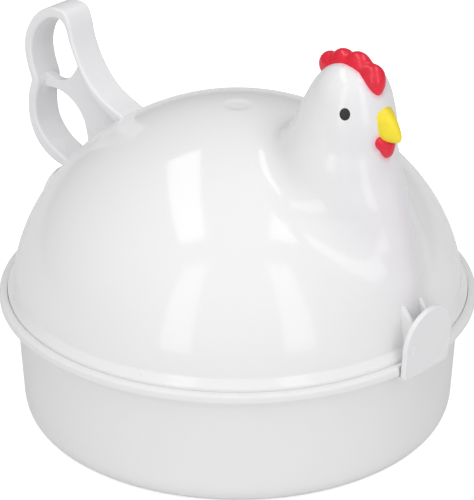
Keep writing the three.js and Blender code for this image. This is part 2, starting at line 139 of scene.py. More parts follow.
def rounded_line(points, steps=6):
    """The points of a line, with a rounded corner at each point that has a third number, its radius."""
    line = []
    for i, point in enumerate(points):
        corner = Vector(point[:2])
        if len(point) == 2:
            line.append(corner)
            continue
        back = Vector(points[i - 1][:2]) - corner
        ahead = Vector(points[(i + 1) % len(points)][:2]) - corner
        reach = point[2] / math.tan(max(back.angle(ahead), 0.05) / 2)
        reach = min(reach, 0.49 * back.length, 0.49 * ahead.length)
        start = corner + back.normalized() * reach
        end = corner + ahead.normalized() * reach
        for k in range(steps + 1):
            t = k / steps
            line.append(start * (1 - t) ** 2 + corner * 2 * t * (1 - t) + end * t * t)
    return line


def smooth_loop(points, per_span=8):
    """A closed smooth line through points."""
    points = [Vector(point) for point in points]
    count = len(points)
    line = []
    for i in range(count):
        p0, p1, p2, p3 = (points[(i + k - 1) % count] for k in range(4))
        t1 = math.sqrt((p1 - p0).length)
        t2 = t1 + math.sqrt((p2 - p1).length)
        t3 = t2 + math.sqrt((p3 - p2).length)
        for k in range(per_span):
            t = t1 + (t2 - t1) * k / per_span
            a1 = p0.lerp(p1, t / t1)
            a2 = p1.lerp(p2, (t - t1) / (t2 - t1))
            a3 = p2.lerp(p3, (t - t2) / (t3 - t2))
            b1 = a1.lerp(a2, t / t2)
            b2 = a2.lerp(a3, (t - t1) / (t3 - t1))
            line.append(b1.lerp(b2, (t - t1) / (t2 - t1)))
    return line


def even_loop(line, count):
    """The same closed line with a given number of evenly spaced points."""
    points = np.array([list(point) for point in line])
    closed = np.vstack([points, points[:1]])
    run = np.concatenate([[0], np.cumsum(np.linalg.norm(np.diff(closed, axis=0), axis=1))])
    places = np.linspace(0, run[-1], count, endpoint=False)
    return [Vector((np.interp(s, run, closed[:, 0]), np.interp(s, run, closed[:, 1]))) for s in places]


def turned(line, segments=0, closed=False):
    """A solid of revolution about Z from a line of [radius, height]."""
    segments = segments or bpy.context.scene.cooker_studio.segments
    bm = bmesh.new()
    verts = [bm.verts.new((point[0], 0, point[1])) for point in line]
    edges = [bm.edges.new(pair) for pair in zip(verts, verts[1:])]
    if closed:
        edges.append(bm.edges.new((verts[-1], verts[0])))
    bmesh.ops.spin(bm, geom=verts + edges, cent=(0, 0, 0), axis=(0, 0, 1), dvec=(0, 0, 0),
                   angle=math.tau, steps=segments, use_merge=True, use_duplicate=False)
    bmesh.ops.remove_doubles(bm, verts=bm.verts, dist=1e-4)
    bmesh.ops.recalc_face_normals(bm, faces=bm.faces)
    return bm


def pull(bm, faces, width):
    """Faces pulled along Y into a solid."""
    pulled = bmesh.ops.extrude_face_region(bm, geom=faces)
    moved = [item for item in pulled["geom"] if isinstance(item, bmesh.types.BMVert)]
    bmesh.ops.translate(bm, verts=moved, vec=(0, width, 0))
    bmesh.ops.recalc_face_normals(bm, faces=bm.faces)


def slab(outline, width, round_edge, segments=3):
    """An outline of [x, z] pulled to a width across the hen's midplane, with rounded edges."""
    bm = bmesh.new()
    face = bm.faces.new([bm.verts.new((x, -width / 2, z)) for x, z in outline])
    pull(bm, [face], width)
    if round_edge:
        rims = [edge for edge in bm.edges if any(len(f.verts) > 4 for f in edge.link_faces)]
        round_off(bm, rims, round_edge, segments)
    return bm


def block(low, high, round_edge=0.0, segments=3):
    """A box between two corners, with rounded edges."""
    bm = bmesh.new()
    bmesh.ops.create_cube(bm, size=1)
    bmesh.ops.scale(bm, verts=bm.verts, vec=[b - a for a, b in zip(low, high)])
    shifted(bm, *[(a + b) / 2 for a, b in zip(low, high)])
    if round_edge:
        round_off(bm, bm.edges[:], round_edge, segments)
    return bm


def cross_rod(radius, half_length, x, z, segments=48, round_edge=0.0):
    """A cylinder along Y, centred on the hen's midplane."""
    bm = bmesh.new()
    bmesh.ops.create_cone(bm, cap_ends=True, segments=segments, radius1=radius, radius2=radius,
                          depth=2 * half_length, matrix=Matrix.Rotation(math.pi / 2, 4, "X"))
    if round_edge:
        rims = [edge for edge in bm.edges if any(len(f.verts) > 4 for f in edge.link_faces)]
        round_off(bm, rims, round_edge, 3)
    return shifted(bm, x, 0, z)


def round_off(bm, edges, radius, segments):
    bmesh.ops.bevel(bm, geom=edges, offset=radius, offset_type="OFFSET", affect="EDGES",
                    segments=segments, profile=0.5, material=-1, clamp_overlap=True)


def rotated(bm, degrees, axis="Z", centre=(0, 0, 0)):
    bmesh.ops.rotate(bm, verts=bm.verts, cent=centre, matrix=Matrix.Rotation(math.radians(degrees), 3, axis))
    return bm


def shifted(bm, x, y, z):
    bmesh.ops.translate(bm, verts=bm.verts, vec=(x, y, z))
    return bm


def joined(*parts):
    """Several bmeshes in one."""
    whole = bmesh.new()
    for part in parts:
        mesh = bpy.data.meshes.new("joined")
        part.to_mesh(mesh)
        part.free()
        whole.from_mesh(mesh)
        bpy.data.meshes.remove(mesh)
    return whole


def loose_object(bm, name="working"):
    """A plain object from a bmesh, in millimetres, for a modifier to work on."""
    mesh = bpy.data.meshes.new(name)
    bm.to_mesh(mesh)
    bm.free()
    made = bpy.data.objects.new(name, mesh)
    bpy.context.scene.collection.objects.link(made)
    return made


def worked(holder):
    """The mesh of an object with its modifiers worked in, as a bmesh. The object is removed."""
    evaluated = holder.evaluated_get(bpy.context.evaluated_depsgraph_get())
    bm = bmesh.new()
    bm.from_mesh(evaluated.to_mesh())
    evaluated.to_mesh_clear()
    bpy.data.objects.remove(holder)
    return bm


def cut(bm, cutter):
    """One bmesh with another taken from it."""
    holder = loose_object(bm)
    tool = loose_object(cutter, "tool")
    modifier = holder.modifiers.new("cut", "BOOLEAN")
    modifier.operation = "DIFFERENCE"
    modifier.solver = "EXACT"
    modifier.use_self = True
    modifier.object = tool
    result = worked(holder)
    bpy.data.objects.remove(tool)
    return result


def remeshed(bm, voxel):
    """The outer skin of a bmesh as even small faces."""
    holder = loose_object(bm)
    modifier = holder.modifiers.new("remesh", "REMESH")
    modifier.mode = "VOXEL"
    modifier.voxel_size = voxel
    modifier.use_smooth_shade = True
    return worked(holder)


def places(bm):
    return np.array([vert.co for vert in bm.verts], float).reshape(-1, 3)


def put(bm, points):
    for vert, point in zip(bm.verts, points):
        vert.co = point


def gradient(field, points, step=0.02):
    slopes = np.empty_like(points)
    for axis in range(3):
        shift = np.zeros(3)
        shift[axis] = step
        slopes[:, axis] = (field(points + shift) - field(points - shift)) / (2 * step)
    return slopes


def outward(field, points):
    slopes = gradient(field, points)
    return slopes / np.maximum(np.linalg.norm(slopes, axis=1, keepdims=True), 1e-9)


def settled(field, points, rounds=6):
    """Points moved onto the surface where a field is zero."""
    points = points.copy()
    for _ in range(rounds):
        slopes = gradient(field, points)
        steepness = np.maximum((slopes ** 2).sum(axis=1), 1e-6)
        step = (field(points) / steepness)[:, None] * slopes
        reach = np.maximum(np.linalg.norm(step, axis=1, keepdims=True), 1e-9)
        points -= step * np.minimum(1, 0.8 / reach)
    return points


def face_weighted(bm):
    """Normals that lean to the largest faces, so that a flat face stays flat beside its rounded edges."""
    bm.normal_update()
    sums = (sum((face.normal * face.calc_area() for face in vert.link_faces), Vector()) for vert in bm.verts)
    return [tuple(total.normalized()) for total in sums]


def smooth_min(a, b, reach):
    share = np.clip(1 - np.abs(a - b) / reach, 0, 1)
    return np.minimum(a, b) - share * share * reach / 4


def ball_gap(points, middle, radii, tilt=0.0):
    """About how far points lie outside an ellipsoid, tilted in the hen's midplane."""
    local = points - np.array(middle)
    c, s = math.cos(tilt), math.sin(tilt)
    x = local[:, 0] * c - local[:, 2] * s
    z = local[:, 0] * s + local[:, 2] * c
    local = np.column_stack([x, local[:, 1], z])
    near = np.linalg.norm(local / np.array(radii), axis=1)
    slope = np.linalg.norm(local / np.array(radii) ** 2, axis=1)
    return near * (near - 1) / np.maximum(slope, 1e-6)


# ---------- finishes

def finish_nodes(name):
    material = bpy.data.materials.new(name)
    material.use_nodes = True
    return material, material.node_tree, material.node_tree.nodes["Principled BSDF"]


def add_node(tree, kind, **values):
    node = tree.nodes.new(kind)
    for key, value in values.items():
        if key in node.inputs:
            node.inputs[key].default_value = value
        else:
            setattr(node, key, value)
    return node


def mix_colours(tree, amount, low, high):
    """A colour mix whose ends are sockets or plain colours."""
    mix = tree.nodes.new("ShaderNodeMix")
    mix.data_type = "RGBA"
    tree.links.new(amount, mix.inputs["Factor"])
    for socket, end in ((mix.inputs[6], low), (mix.inputs[7], high)):
        if isinstance(end, bpy.types.NodeSocket):
            tree.links.new(end, socket)
        else:
            socket.default_value = (*end, 1)
    return mix.outputs[2]


def spread(tree, value, low, high, start=0.0, end=1.0):
    node = tree.nodes.new("ShaderNodeMapRange")
    node.inputs["From Min"].default_value = start
    node.inputs["From Max"].default_value = end
    node.inputs["To Min"].default_value = low
    node.inputs["To Max"].default_value = high
    tree.links.new(value, node.inputs["Value"])
    return node.outputs["Result"]


def pattern(tree, where, kind, **values):
    """The outputs of a texture on given coordinates."""
    texture = add_node(tree, kind, **values)
    tree.links.new(where, texture.inputs["Vector"])
    return texture.outputs


def attribute(tree, name):
    """A number that a piece holds at each of its points."""
    node = tree.nodes.new("ShaderNodeAttribute")
    node.attribute_name = name
    return node.outputs["Fac"]


def uneven_gloss(tree, shader, drift, roughness, low, high):
    """A roughness that drifts with a texture between two shares of its mean."""
    rough = spread(tree, drift, roughness * low, roughness * high, 0.3, 0.7)
    tree.links.new(rough, shader.inputs["Roughness"])


def bumped(tree, height, strength, distance, under=None):
    """A surface raised by a texture, over another bump where one is given."""
    bump = add_node(tree, "ShaderNodeBump", Strength=strength, Distance=distance)
    tree.links.new(height, bump.inputs["Height"])
    if under is not None:
        tree.links.new(under, bump.inputs["Normal"])
    return bump.outputs["Normal"]


def dimmed(rgb, share):
    return tuple(channel * share for channel in rgb)


def plastic(name, white, roughness, grain, ripple, bump, haze=None, shade=None):
    """Moulded plastic: faint flow marks, a fine grain, slightly uneven gloss and a few dust specks; given a
    shade colour, also a painted shade laid on by the piece's painted-shade amount.
    """
    material, tree, shader = finish_nodes(name)
    where = tree.nodes.new("ShaderNodeTexCoord").outputs["Object"]
    flow = pattern(tree, where, "ShaderNodeTexNoise", Scale=28.0, Detail=3.0, Roughness=0.55)["Fac"]
    fine = pattern(tree, where, "ShaderNodeTexNoise", Scale=grain, Detail=2.0, Roughness=0.5)["Fac"]
    dust = pattern(tree, where, "ShaderNodeTexVoronoi", Scale=70.0)["Distance"]
    tone = mix_colours(tree, flow, white, dimmed(white, 0.975))
    if shade:
        # Painted shade: the tone is pulled towards the shade colour by the piece's painted-shade amount.
        tone = mix_colours(tree, attribute(tree, "painted_shade"), tone, shade)
    speck = spread(tree, dust, 0.35, 0.0, 0.012, 0.022)
    tone = mix_colours(tree, speck, tone, dimmed(white, 0.62))
    if haze:
        patchy = pattern(tree, where, "ShaderNodeTexNoise", Scale=520.0, Detail=3.0)["Fac"]
        broken = add_node(tree, "ShaderNodeMath", operation="MULTIPLY")
        tree.links.new(attribute(tree, "overspray"), broken.inputs[0])
        tree.links.new(spread(tree, patchy, 0.35, 1.0, 0.3, 0.65), broken.inputs[1])
        tone = mix_colours(tree, broken.outputs["Value"], tone, haze)
    tree.links.new(tone, shader.inputs["Base Color"])
    uneven_gloss(tree, shader, flow, roughness, 0.85, 1.2)
    waves = bumped(tree, flow, ripple, 0.0004)
    tree.links.new(bumped(tree, fine, bump, 0.00004, waves), shader.inputs["Normal"])
    shader.inputs["IOR"].default_value = 1.47
    return material


def lacquer(name, rgb, roughness, darker, coat):
    """Brushed-on paint: a slightly uneven film with soft ripples under a clear gloss."""
    material, tree, shader = finish_nodes(name)
    where = tree.nodes.new("ShaderNodeTexCoord").outputs["Object"]
    film = pattern(tree, where, "ShaderNodeTexNoise", Scale=210.0, Detail=4.0, Roughness=0.6)["Fac"]
    ripples = pattern(tree, where, "ShaderNodeTexNoise", Scale=600.0, Detail=2.0, Distortion=0.6)["Fac"]
    amount = spread(tree, film, 0.0, 1.0, 0.3, 0.7)
    tree.links.new(mix_colours(tree, amount, rgb, dimmed(rgb, darker)), shader.inputs["Base Color"])
    uneven_gloss(tree, shader, film, roughness, 0.8, 1.25)
    tree.links.new(bumped(tree, ripples, 0.25, 0.0001), shader.inputs["Normal"])
    shader.inputs["Coat Weight"].default_value = coat
    shader.inputs["Coat Roughness"].default_value = 0.12
    return material


def metal(name, rgb, roughness, rings):
    """Worked metal: fine tool lines, in rings round the axis where it was spun."""
    material, tree, shader = finish_nodes(name)
    where = tree.nodes.new("ShaderNodeTexCoord").outputs["Object"]
    cloud = pattern(tree, where, "ShaderNodeTexNoise", Scale=60.0, Detail=4.0)["Fac"]
    if rings:
        lines = add_node(tree, "ShaderNodeTexWave", Scale=260.0, Distortion=2.5, Detail=2.0,
                         wave_type="RINGS", rings_direction="Z")
        lines.inputs["Detail Scale"].default_value = 0.6
        tree.links.new(where, lines.inputs["Vector"])
        height = lines.outputs["Fac"]
    else:
        grain = add_node(tree, "ShaderNodeMapping", Scale=(300.0, 12000.0, 300.0))
        tree.links.new(where, grain.inputs["Vector"])
        where = grain.outputs["Vector"]
        height = pattern(tree, where, "ShaderNodeTexNoise", Scale=1.0, Detail=3.0)["Fac"]
    tree.links.new(mix_colours(tree, cloud, rgb, dimmed(rgb, 0.86)), shader.inputs["Base Color"])
    uneven_gloss(tree, shader, cloud, roughness, 0.8, 1.3)
    tree.links.new(bumped(tree, height, 0.18, 0.00006), shader.inputs["Normal"])
    shader.inputs["Metallic"].default_value = 1.0
    return material


def finish(name):
    """A finish by name, made the first time it is asked for."""
    if name in bpy.data.materials:
        return bpy.data.materials[name]
    tones = bpy.context.scene.cooker_finishes
    base, dome, trim = tuple(tones.base_white), tuple(tones.dome_white), tuple(tones.trim_white)
    makers = {
        "satin_white": lambda: plastic(name, base, 0.42, 1500.0, 0.05, 0.35),
        "gloss_white": lambda: plastic(name, dome, 0.10, 1100.0, 0.05, 0.06),
        # The head's finish carries the painted shade on its breast and face.
        "head_white": lambda: plastic(name, dome, 0.10, 1100.0, 0.05, 0.06,
                                      haze=tuple(tones.paint_haze), shade=tuple(tones.painted_shade_colour)),
        "trim_white": lambda: plastic(name, trim, 0.26, 1300.0, 0.06, 0.12),
        "red_lacquer": lambda: lacquer(name, tuple(tones.red), 0.24, 0.86, 0.1),
        "yellow_lacquer": lambda: lacquer(name, tuple(tones.yellow), 0.42, 0.9, 0.15),
        "black_lacquer": lambda: lacquer(name, tuple(tones.black), 0.5, 0.6, 0.1),
        "spun_aluminium": lambda: metal(name, tuple(tones.aluminium), 0.3, True),
        "fastener_steel": lambda: metal(name, tuple(tones.steel), 0.32, False),
    }
    return makers[name]()


def finished_piece(name, bm, body, finish_name, stands_for, sharp=None, normals=None):
    """A finished object in metres at the origin, on its body, with its finish."""
    bmesh.ops.scale(bm, verts=bm.verts, vec=(MM, MM, MM))
    mesh = bpy.data.meshes.new(name)
    bm.to_mesh(mesh)
    bm.free()
    for polygon in mesh.polygons:
        polygon.use_smooth = True
    if sharp is not None:
        mesh.set_sharp_from_angle(angle=math.radians(sharp))
    if normals is not None:
        mesh.normals_split_custom_set_from_vertices(normals)
    mesh.materials.append(finish(finish_name))
    made = bpy.data.objects.new(name, mesh)
    bpy.context.scene.collection.objects.link(made)
    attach(made, body)
    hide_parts(*stands_for)
    return made


def dress(node, finish_name):
    """A CAD node as it is, with a better finish."""
    mesh_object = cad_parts[node]
    if not mesh_object.data.materials:
        mesh_object.data.materials.append(None)
    for slot_place in mesh_object.material_slots:
        slot_place.link = "OBJECT"
        slot_place.material = finish(finish_name)


# ---------- forms shared by the pieces

SPRING_Z = RIM_Z + 1.4
DOME_POWER_R = 1.84
DOME_POWER_Z = 1.9
CREASE_ANGLE = 4.0
DIMPLE_RADIUS = 4.3
DIMPLE_DEPTH = 0.45
LINING_CLEARANCE = 3.2
SCREW_HOLE = 1.4
PIN_HOLE = 1.3
LUG_MIDDLE = 4.0
LUG_THICKNESS = 1.6
GAP = 0.3

# The neck and breast in level sections: height above the rim, middle, half length, half width.
NECK_SECTIONS = np.array([
    [4, 57, 11, 4.5], [9, 56, 13, 6], [14, 54, 16, 9], [20, 50, 19.6, 12], [28, 46, 23, 16],
    [35.7, 44, 24, 17], [42, 42.4, 23.4, 18.4], [49, 40.8, 23.2, 18.6], [55, 40.0, 21.6, 17.8],
    [60, 40.6, 19.5, 16.7], [66, 41.8, 16.9, 15.0], [70, 42.8, 15.6, 13.8], [74, 43.6, 13.8, 12.2],
    [79, 44.3, 9, 8], [84, 45, 3, 3],
])
# The skull and the crown on it: middle and radii.
SKULL = ((44.3, 0, RIM_Z + 73.2), (14.2, 12.4, 13.6))
CROWN = ((45.5, 0, RIM_Z + 77.5), (12.2, 12.0, 12.7))
CROWN_BLEND = 2.0
CHEEK_BLEND = 4.0

# Comb lobes, from the nape to the forehead, the fillers between them and the forehead drop: x, y, height
# above the rim, half length, half width, half height, blend into the lobes before it.
COMB_LOBES = [
    [37.4, 0, 86.6, 4.2, 3.2, 4.2, 0.0],
    [42.2, 0, 88.6, 4.4, 3.3, 4.3, 0.9],
    [47.8, 0, 88.8, 4.7, 3.4, 4.5, 0.9],
    [53.2, -0.2, 86.7, 4.2, 3.5, 4.3, 0.9],
    [40.0, 0, 87.0, 4.0, 3.2, 3.0, 1.5],
    [45.2, 0, 88.2, 4.0, 3.2, 3.0, 1.5],
    [50.8, 0, 87.3, 4.0, 3.2, 3.0, 1.5],
    [54.8, -0.8, 85.0, 2.6, 2.4, 2.4, 2.0],
    [55.6, -1.2, 84.0, 1.8, 1.3, 1.4, 1.5],
]
COMB_CENTRE = (44.5, 76)

WATTLE_LOBES = [
    [58.9, 0.0, 66.2, 2.3, 2.2, 2.6, 0.0],
    [58.4, 1.9, 67.6, 1.9, 1.5, 1.8, 2.6],
    [58.4, -1.9, 67.6, 1.9, 1.5, 1.8, 2.6],
    [57.6, 3.4, 69.0, 1.6, 1.3, 1.7, 2.6],
    [57.6, -3.4, 69.0, 1.6, 1.3, 1.7, 2.6],
    [59.2, 0.0, 64.3, 1.1, 1.1, 1.4, 2.6],
]


def section_table():
    """The neck's sections at close heights, with the steps between them smoothed out."""
    heights = np.arange(NECK_SECTIONS[0, 0], NECK_SECTIONS[-1, 0], 0.25)
    window = np.hanning(33)
    window /= window.sum()
    columns = [heights]
    for column in (1, 2, 3):
        values = np.interp(heights, NECK_SECTIONS[:, 0], NECK_SECTIONS[:, column])
        padded = np.pad(values, 16, mode="edge")
        columns.append(np.convolve(padded, window, mode="valid"))
    return columns


SECTIONS = section_table()


def size(name):
    """One of the cooker's sizes, in millimetres."""
    return getattr(bpy.context.scene.cooker_sizes, name) / MM


def dome_gap(points):
    """About how far points lie outside the dome."""
    radius, height = size("dome_radius"), size("dome_height")
    out = np.maximum(np.hypot(points[:, 0], points[:, 1]), 1e-6) / radius
    up = np.maximum(points[:, 2] - SPRING_Z, 1e-3) / height
    level = out ** DOME_POWER_R + up ** DOME_POWER_Z - 1
    slope = np.hypot(DOME_POWER_R * out ** (DOME_POWER_R - 1) / radius,
                     DOME_POWER_Z * up ** (DOME_POWER_Z - 1) / height)
    return level / slope


def neck_gap(points):
    rise = points[:, 2] - RIM_Z
    heights, middles, lengths, widths = SECTIONS
    middle, half_length, half_width = (np.interp(rise, heights, v) for v in (middles, lengths, widths))
    power = np.interp(rise, [46, 60], [1.78, 2.0])
    along = np.maximum(np.abs(points[:, 0] - middle), 1e-6) / half_length
    across = np.maximum(np.abs(points[:, 1]), 1e-6) / half_width
    level = (along ** power + across ** power) ** (1 / power)
    ends = np.maximum(heights[0] - rise, rise - heights[-1])
    return np.maximum((level - 1) * np.minimum(half_length, half_width) * 0.85, ends)


def crown_gap(points):
    skull = smooth_min(ball_gap(points, *SKULL), ball_gap(points, *CROWN), CROWN_BLEND)
    return smooth_min(neck_gap(points), skull, CHEEK_BLEND)


def fillet_reach(points):
    """How far the head's blend into the dome reaches: less towards the rim."""
    return size("head_fillet") * np.clip((points[:, 2] - RIM_Z) / 24, 0.3, 1)


def hen_gap(points):
    """The outer face of the dome and the head as one smooth form."""
    return smooth_min(dome_gap(points), crown_gap(points), fillet_reach(points))


def head_share(points):
    """How much nearer the dome is than the head, in reaches of their blend."""
    return (crown_gap(points) - dome_gap(points)) / fillet_reach(points)


def lobes_gap(points, lobes, fan_centre=None):
    """About how far points lie outside blended lobes, which may fan out from a centre."""
    gap = None
    for x, y, rise, along, across, tall, blend in lobes:
        tilt = math.atan2(x - fan_centre[0], rise - fan_centre[1]) if fan_centre else 0.0
        lobe = ball_gap(points, (x, y, RIM_Z + rise), (along, across, tall), tilt)
        gap = lobe if gap is None else smooth_min(gap, lobe, blend)
    return gap


def comb_gap(points):
    return lobes_gap(points, COMB_LOBES, COMB_CENTRE)


def wattle_gap(points):
    return lobes_gap(points, WATTLE_LOBES)


def dome_line(inset, steps, low_angle=CREASE_ANGLE, top_radius=0.0):
    """One side of the dome from its crown down to its crease, shrunk by an inset."""
    line = []
    for i in range(1, steps + 1):
        angle = math.radians(90 - i / steps * (90 - low_angle))
        radius = (size("dome_radius") - inset) * math.cos(angle) ** (2 / DOME_POWER_R)
        height = (size("dome_height") - inset) * math.sin(angle) ** (2 / DOME_POWER_Z)
        if radius > top_radius:
            line.append((radius, SPRING_Z + height))
    return line


def dome_top():
    return SPRING_Z + size("dome_height")


def dome_core(inset):
    """Everything inside the dome's outer face less an inset: what stands on the dome is cut with it."""
    foot, low = size("dome_radius") - 0.2 - inset, RIM_Z - 2
    return turned([(0, dome_top() - inset), *dome_line(inset, 60), (foot, low), (0, low)], 128)


def spheres(places_and_radii):
    parts = []
    for middle, radii in places_and_radii:
        bm = bmesh.new()
        bmesh.ops.create_uvsphere(bm, u_segments=32, v_segments=20, radius=1)
        bmesh.ops.scale(bm, verts=bm.verts, vec=radii)
        parts.append(shifted(bm, *middle))
    return joined(*parts)


def radial_form(field, middle, subdivisions):
    """A ball whose points are moved along their rays to where a field is zero."""
    bm = bmesh.new()
    bmesh.ops.create_icosphere(bm, subdivisions=subdivisions, radius=1)
    rays = places(bm)
    middle = np.array(middle)
    far = 90.0
    high = np.full(len(rays), far)
    for reach in np.arange(far - 1, 0, -1):
        high[field(middle + rays * reach) >= 0] = reach
    low = high - 1
    for _ in range(14):
        half = (low + high) / 2
        inside = field(middle + rays * half[:, None]) < 0
        low, high = np.where(inside, half, low), np.where(inside, high, half)
    put(bm, middle + rays * low[:, None])
    return bm


# ---------- the pieces

class COOKER_OT_base(bpy.types.Operator):
    """Turn the base bowl with its rim bead and the ribs that carry the tray."""

    bl_idname = "egg_cooker.base"
    bl_label = "Base bowl"

    def execute(self, context):
        rim, foot, neck, wall = size("rim_radius"), size("foot_radius"), size("neck_radius"), size("wall")
        bead_top, bead_low, ledge = RIM_Z + BEAD_RISE, RIM_Z - 1.3, RIM_Z - 0.8
        bead_inner = size("skirt_radius") + 0.1
        bowl = turned(rounded_line([
            (0, 0.4), (52, 0.4, 0.3), (53, 0, 0.3), (foot, 0, 13), (neck, bead_low - 4, 2.0),
            (neck + 0.7, bead_low - 1.2, 1.2), (rim - 2.2, bead_low, 0.8), (rim, bead_low, 1.0),
            (rim, bead_top, 1.25), (bead_inner, bead_top, 0.3), (bead_inner, ledge, 0.5),
            (neck - wall + 0.3, ledge, 0.6), (neck - wall, ledge - 2, 0.8),
            (foot - wall, wall, 10), (0, wall),
        ], 10))
        notch = EAR_HIGH.y + GAP
        notches = [block((side * NOTCH_X, -notch, bead_low - 1), (side * (rim + 1), notch, bead_top + 1))
                   for side in (-1, 1)]
        parts = [cut(bowl, joined(*notches))]
        for i in range(6):
            rib = block((neck - 6.4, -1.2, wall + 6), (neck - 2.4, 1.2, TRAY_LOW.z + 4.2), 0.5)
            parts.append(rotated(rib, 60 * i + 30))
        finished_piece("base_shell", joined(*parts), "base", "satin_white", ["base_bowl"], 50)
        return {"FINISHED"}


class COOKER_OT_tray(bpy.types.Operator):
    """Press the egg tray from one sheet, with four seats, steam holes and a lifting hole."""

    bl_idname = "egg_cooker.tray"
    bl_label = "Egg tray"

    def execute(self, context):
        top, outer, thickness = RIM_Z - 17.7, TRAY_HIGH.x - 0.4, 0.9
        ball, mouth, seat_radius = 24.0, 19.0, 33.0
        steam_hole, steam_radius, lifting_hole = 3, 47, 9.5
        rings = [(0.0, top)] + [(r, top) for r in np.linspace(0.8, outer - 2.2, 84)]
        rings += rounded_line([rings[-1], (outer, top, 1.6), (outer, top + 1.9)], 8)[1:]
        bm = turned(rings)
        points = places(bm)
        centre_z = top + math.sqrt(ball ** 2 - mouth ** 2)
        for i in range(4):
            angle = math.radians(90 * i + 45)
            away = np.hypot(points[:, 0] - seat_radius * math.cos(angle),
                            points[:, 1] - seat_radius * math.sin(angle))
            bowl = centre_z - np.sqrt(np.maximum(ball ** 2 - away ** 2, 0))
            bowl = np.where(away < ball - 0.5, bowl, 99)
            points[:, 2] = smooth_min(points[:, 2], bowl, 1.6)
        lowest = TRAY_LOW.z + 0.45
        points[:, 2] = -smooth_min(-points[:, 2], np.full(len(points), -lowest), 0.6)
        put(bm, points)
        bmesh.ops.recalc_face_normals(bm, faces=bm.faces)
        bmesh.ops.solidify(bm, geom=bm.faces, thickness=thickness)
        holes = [shifted(rotated(cross_rod(lifting_hole, 9, 0, 0, 96), 90, "X"), 0, 0, top)]
        for i in range(4):
            for radius, angle in ((seat_radius, 90 * i + 45), (steam_radius, 90 * i)):
                hole = rotated(cross_rod(steam_hole, 9, 0, 0, 40), 90, "X")
                turn = math.radians(angle)
                holes.append(shifted(hole, radius * math.cos(turn), radius * math.sin(turn), top))
        bm = cut(bm, joined(*holes))
        finished_piece("tray_pressing", bm, "tray", "spun_aluminium", ["egg_tray"], 40)
        return {"FINISHED"}


class COOKER_OT_dome(bpy.types.Operator):
    """Turn the lid's dome with its crown dimple, flange and skirt, and set the latch lugs on it."""

    bl_idname = "egg_cooker.dome"
    bl_label = "Lid dome"

    def execute(self, context):
        top, skirt, wall = dome_top(), size("skirt_radius"), size("wall")
        low, boss_low, hole_top = RIM_Z - 0.5, top - LINING_CLEARANCE + GAP, top - 1.3
        crease = dome_line(0, 90)[-1]
        line = rounded_line([
            (0, top - DIMPLE_DEPTH), (DIMPLE_RADIUS - 1.7, top - DIMPLE_DEPTH, 1.0),
            (DIMPLE_RADIUS, top - 0.25, 0.8), *dome_line(0, 90, CREASE_ANGLE, DIMPLE_RADIUS + 0.4)[:-1],
            (crease[0], crease[1], 1.0), (skirt, crease[1] - 2.4, 1.4), (skirt, low, 0.5),
            (skirt - wall, low, 0.5), (skirt - wall, crease[1] - 2.8, 0.8),
            *dome_line(wall, 60)[::-1], (3.9, top - wall - 0.05), (3.6, top - wall - 0.1),
            (3.6, boss_low, 0.2), (SCREW_HOLE, boss_low, 0.1), (SCREW_HOLE, hole_top), (0, hole_top),
        ])
        parts = [turned(line)]
        lug_outline = rounded_line([
            (66.0, PIVOT_Z + 9.2), (70.6, PIVOT_Z + 8.0, 1.5), (74.8, PIVOT_Z + 2.8, 1.2),
            (75.0, PIVOT_Z - 6, 1.0), (74.2, PIVOT_Z - 7.5, 0.5), (66.0, PIVOT_Z - 7.5),
        ], 4)
        for side in (-1, 1):
            for turn in (0, 180):
                lug = shifted(slab(lug_outline, LUG_THICKNESS, 0.3), 0, side * LUG_MIDDLE, 0)
                lug = cut(lug, cross_rod(PIN_HOLE, PIN_HIGH.y + GAP, PIVOT_X, PIVOT_Z))
                parts.append(rotated(lug, turn))
        finished_piece("dome_shell", joined(*parts), "lid", "gloss_white", ["lid_dome"], 50)
        return {"FINISHED"}


class COOKER_OT_lining(bpy.types.Operator):
    """Spin the lid's aluminium lining with its hem, and finish the screw, the washer and the latch pins."""

    bl_idname = "egg_cooker.lining"
    bl_label = "Lid lining"

    def execute(self, context):
        sheet, top = size("sheet"), dome_top() - LINING_CLEARANCE
        outer = dome_line(LINING_CLEARANCE, 72, 3, 6)
        inner = dome_line(LINING_CLEARANCE + sheet, 72, 3, 6)
        hem_low = outer[-1][1] - 2.6
        hem_in, hem_out = size("dome_radius") - LINING_CLEARANCE, size("skirt_radius") - size("wall") - 0.8
        line = rounded_line([
            (SCREW_HOLE, top), (5.6, top), *outer, (hem_in + 0.2, hem_low + sheet, 0.5),
            (hem_out, hem_low + sheet, 0.3), (hem_out, hem_low, 0.3), (hem_in - sheet, hem_low, 0.5),
            *inner[::-1], (5.6, top - sheet), (SCREW_HOLE, top - sheet),
        ])
        bm = turned(line, closed=True)
        finished_piece("lining_spinning", bm, "lid", "spun_aluminium", ["lid_lining"], 50)
        for node in ("lining_washer", "lining_screw", "front_latch_pin", "rear_latch_pin"):
            dress(node, "fastener_steel")
        return {"FINISHED"}


